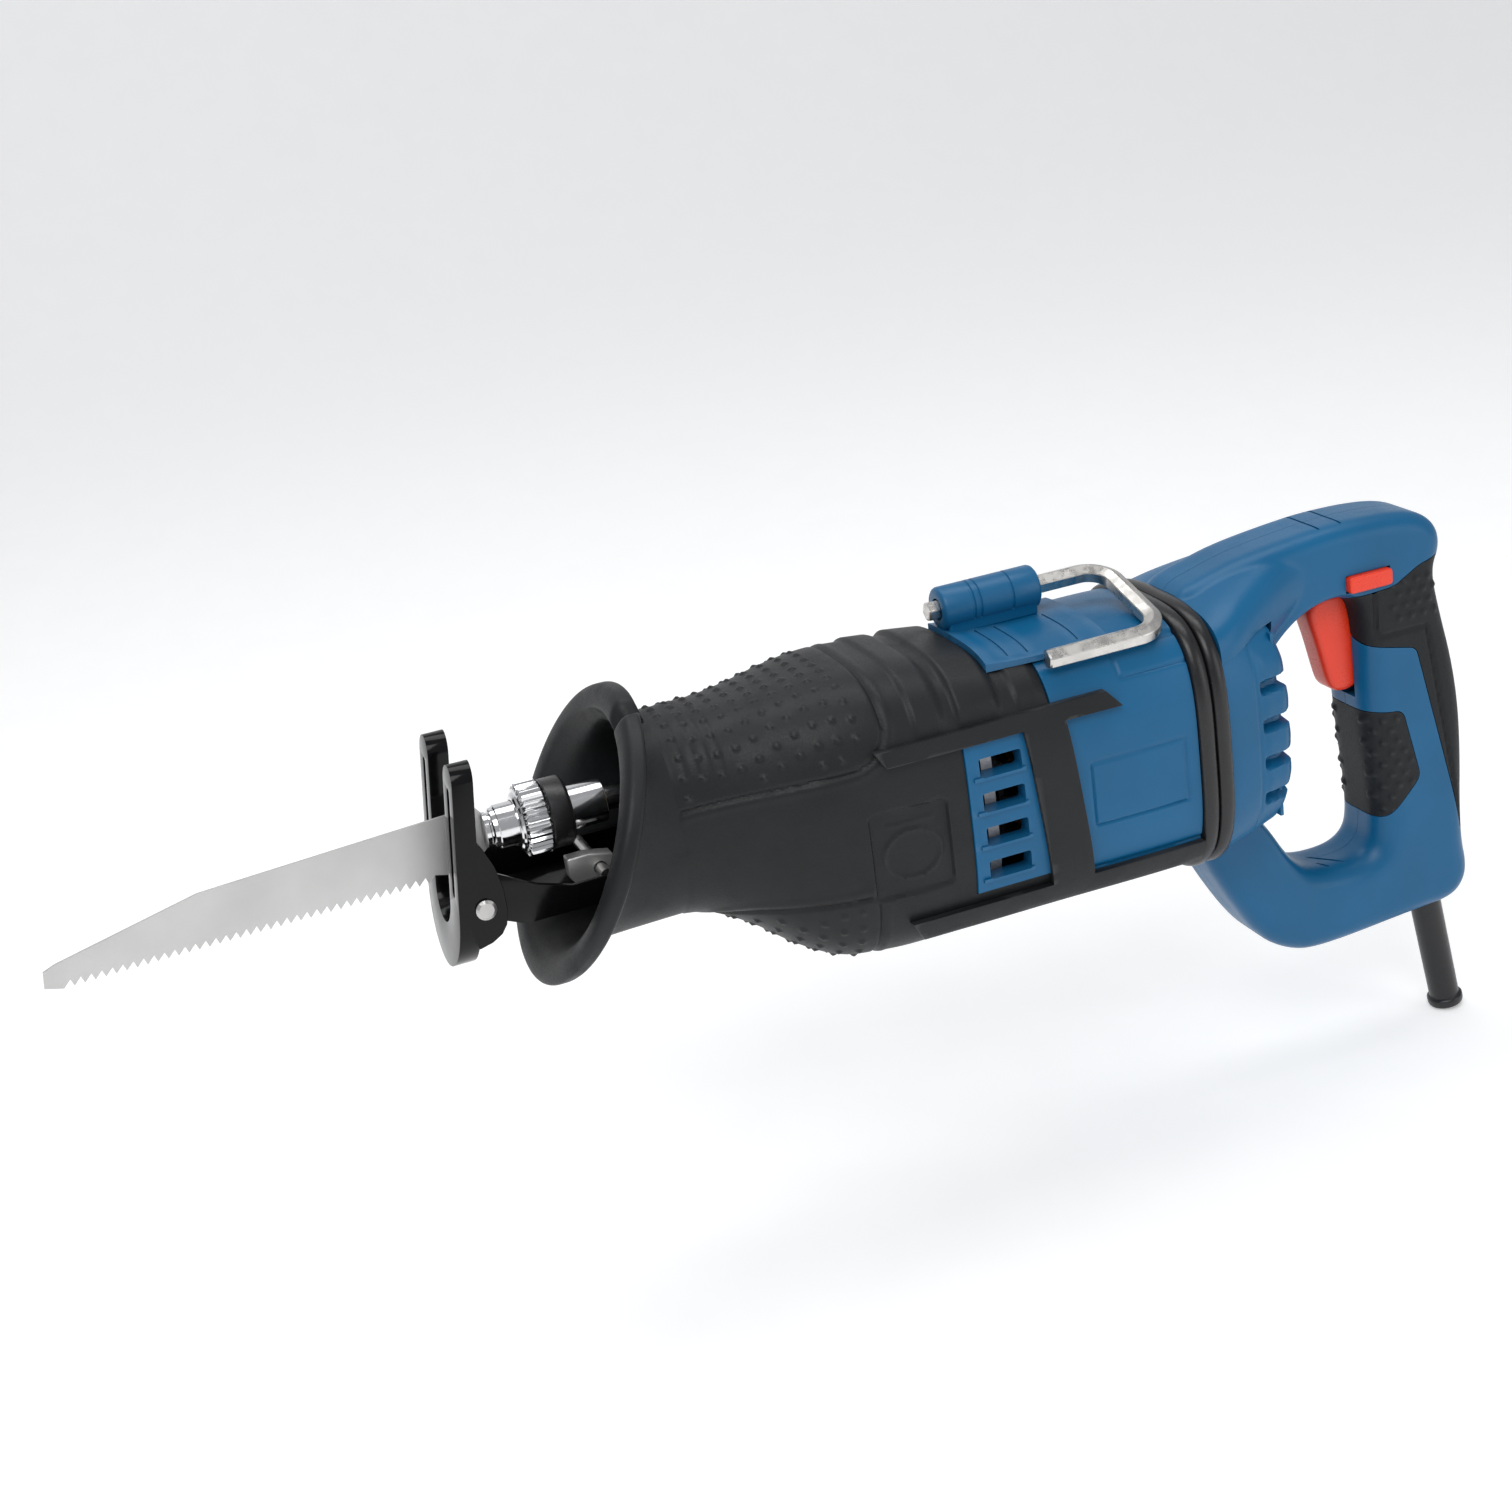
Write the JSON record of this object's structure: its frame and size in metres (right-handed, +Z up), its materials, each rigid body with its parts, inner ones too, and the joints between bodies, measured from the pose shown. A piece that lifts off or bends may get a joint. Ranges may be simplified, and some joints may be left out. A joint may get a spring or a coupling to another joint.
{
  "type": "reciprocating saw",
  "caption": "Corded reciprocating saw: long body with a rubber boot and hand guard, looped rear handle, wood blade in a twist clamp, tilting forked shoe and a swinging rafter hook.",
  "frame": {"origin": "middle of the bottom of the whole saw's box, below the cord guard's end", "axes": "+X from the blade's tip to the handle, along the plunger; +Z up; +Y across, so the blade's flat faces +Y and -Y"},
  "size_m": [0.6295, 0.1246, 0.2648],
  "materials": {
    "blue_housing": "blue glass-filled plastic with a fine satin texture",
    "black_rubber": "soft satin black rubber",
    "red_plastic": "semi-gloss red-orange plastic",
    "blade_steel": "light grey coated saw blade steel",
    "polished_steel": "bright turned and plated steel",
    "gloss_black": "gloss black coated pressed steel",
    "bare_steel": "plain machined steel",
    "cast_alloy": "plain die-cast alloy",
    "bronze": "sintered bronze",
    "copper": "varnished copper",
    "black_plastic": "plain black plastic"
  },
  "bodies": {
    "housing": {"boot": "black_rubber", "gear_casting": "cast_alloy", "motor_housing": "blue_housing", "bumper_left": "black_rubber", "bumper_right": "black_rubber", "damping_ring_front": "black_rubber", "damping_ring_rear": "black_rubber", "end_cap": "blue_housing", "handle_left": "blue_housing", "handle_right": "blue_housing", "rear_grip": "black_rubber", "front_grip": "black_rubber", "switch_body": "black_plastic", "speed_module": "black_plastic", "cord_clamp": "black_plastic", "cord_guard": "black_rubber", "handle_screw_1": "bare_steel", "handle_screw_2": "bare_steel", "handle_screw_3": "bare_steel", "handle_screw_4": "bare_steel", "hook_saddle": "blue_housing", "front_bush": "bronze", "rear_bush": "bronze", "gear_bearing": "bare_steel", "bearing_front": "bare_steel", "bearing_rear": "bare_steel", "bearing_bracket": "cast_alloy", "stator_core": "bare_steel", "field_coil_front": "copper", "field_coil_rear": "copper", "brush_holder_left": "bronze", "brush_holder_right": "bronze", "brush_left": "black_plastic", "brush_right": "black_plastic"},
    "plunger": {"plunger_rod": "polished_steel", "yoke": "bare_steel", "clamp_body": "polished_steel", "clamp_pin": "polished_steel", "blade": "blade_steel"},
    "clamp_collar": {"clamp_collar": "polished_steel", "clamp_grip_ring": "black_rubber"},
    "shoe_arm": {"shoe_arm": "gloss_black", "shoe_lever_bolt": "bare_steel", "shoe_rivet_left": "bare_steel", "shoe_rivet_right": "bare_steel"},
    "shoe_lever": {"shoe_lever": "bare_steel"},
    "shoe": {"shoe": "gloss_black"},
    "hook": {"hanging_hook": "polished_steel"},
    "trigger": {"trigger": "red_plastic"},
    "lock_button": {"lock_button": "red_plastic"},
    "armature": {"armature_shaft": "bare_steel", "armature_core": "bare_steel", "commutator": "copper", "fan": "black_plastic"},
    "crank": {"crank_gear": "bare_steel", "crank_pin": "bare_steel", "gear_shaft": "bare_steel"}
  },
  "joints": [
    {"name": "plunger_stroke", "type": "slide", "parent": "housing", "child": "plunger", "axis": [1, 0, 0], "range_m": [0, 0.028]},
    {"name": "clamp_twist", "type": "hinge", "parent": "plunger", "child": "clamp_collar", "pos_m": [-0.11675, 0, 0.21535], "axis": [1, 0, 0], "range_deg": [0, 60], "stiffness_Nm_per_rad": 0.05},
    {"name": "shoe_reach", "type": "slide", "parent": "housing", "child": "shoe_arm", "axis": [-1, 0, 0], "range_m": [0, 0.03]},
    {"name": "shoe_lever_turn", "type": "hinge", "parent": "shoe_arm", "child": "shoe_lever", "pos_m": [-0.09675, -0.00925, 0.19185], "axis": [0, -1, 0], "range_deg": [0, 60]},
    {"name": "shoe_tilt", "type": "hinge", "parent": "shoe_arm", "child": "shoe", "pos_m": [-0.14825, 0, 0.19435], "axis": [0, 1, 0], "range_deg": [-15, 20]},
    {"name": "hook_swing", "type": "hinge", "parent": "housing", "child": "hook", "pos_m": [0.10325, 0.01, 0.25535], "axis": [-1, 0, 0], "range_deg": [0, 180]},
    {"name": "trigger_pull", "type": "hinge", "parent": "housing", "child": "trigger", "pos_m": [0.26025, 0, 0.21935], "axis": [0, -1, 0], "range_deg": [0, 8], "stiffness_Nm_per_rad": 1.5, "springref_deg": -8.59},
    {"name": "lock_press", "type": "slide", "parent": "housing", "child": "lock_button", "axis": [0, 1, 0], "range_m": [0, 0.003], "stiffness_N_per_m": 800, "springref_m": -0.002},
    {"name": "armature_spin", "type": "hinge", "parent": "housing", "child": "armature", "pos_m": [0.11325, 0, 0.18385], "axis": [1, 0, 0], "continuous": true},
    {"name": "crank_spin", "type": "hinge", "parent": "housing", "child": "crank", "pos_m": [0.02325, 0, 0.19135], "axis": [0, 0, 1], "continuous": true}
  ],
  "couplings": [
    {"joint": "crank_spin", "follows": "armature_spin", "ratio": -0.25}
  ]
}
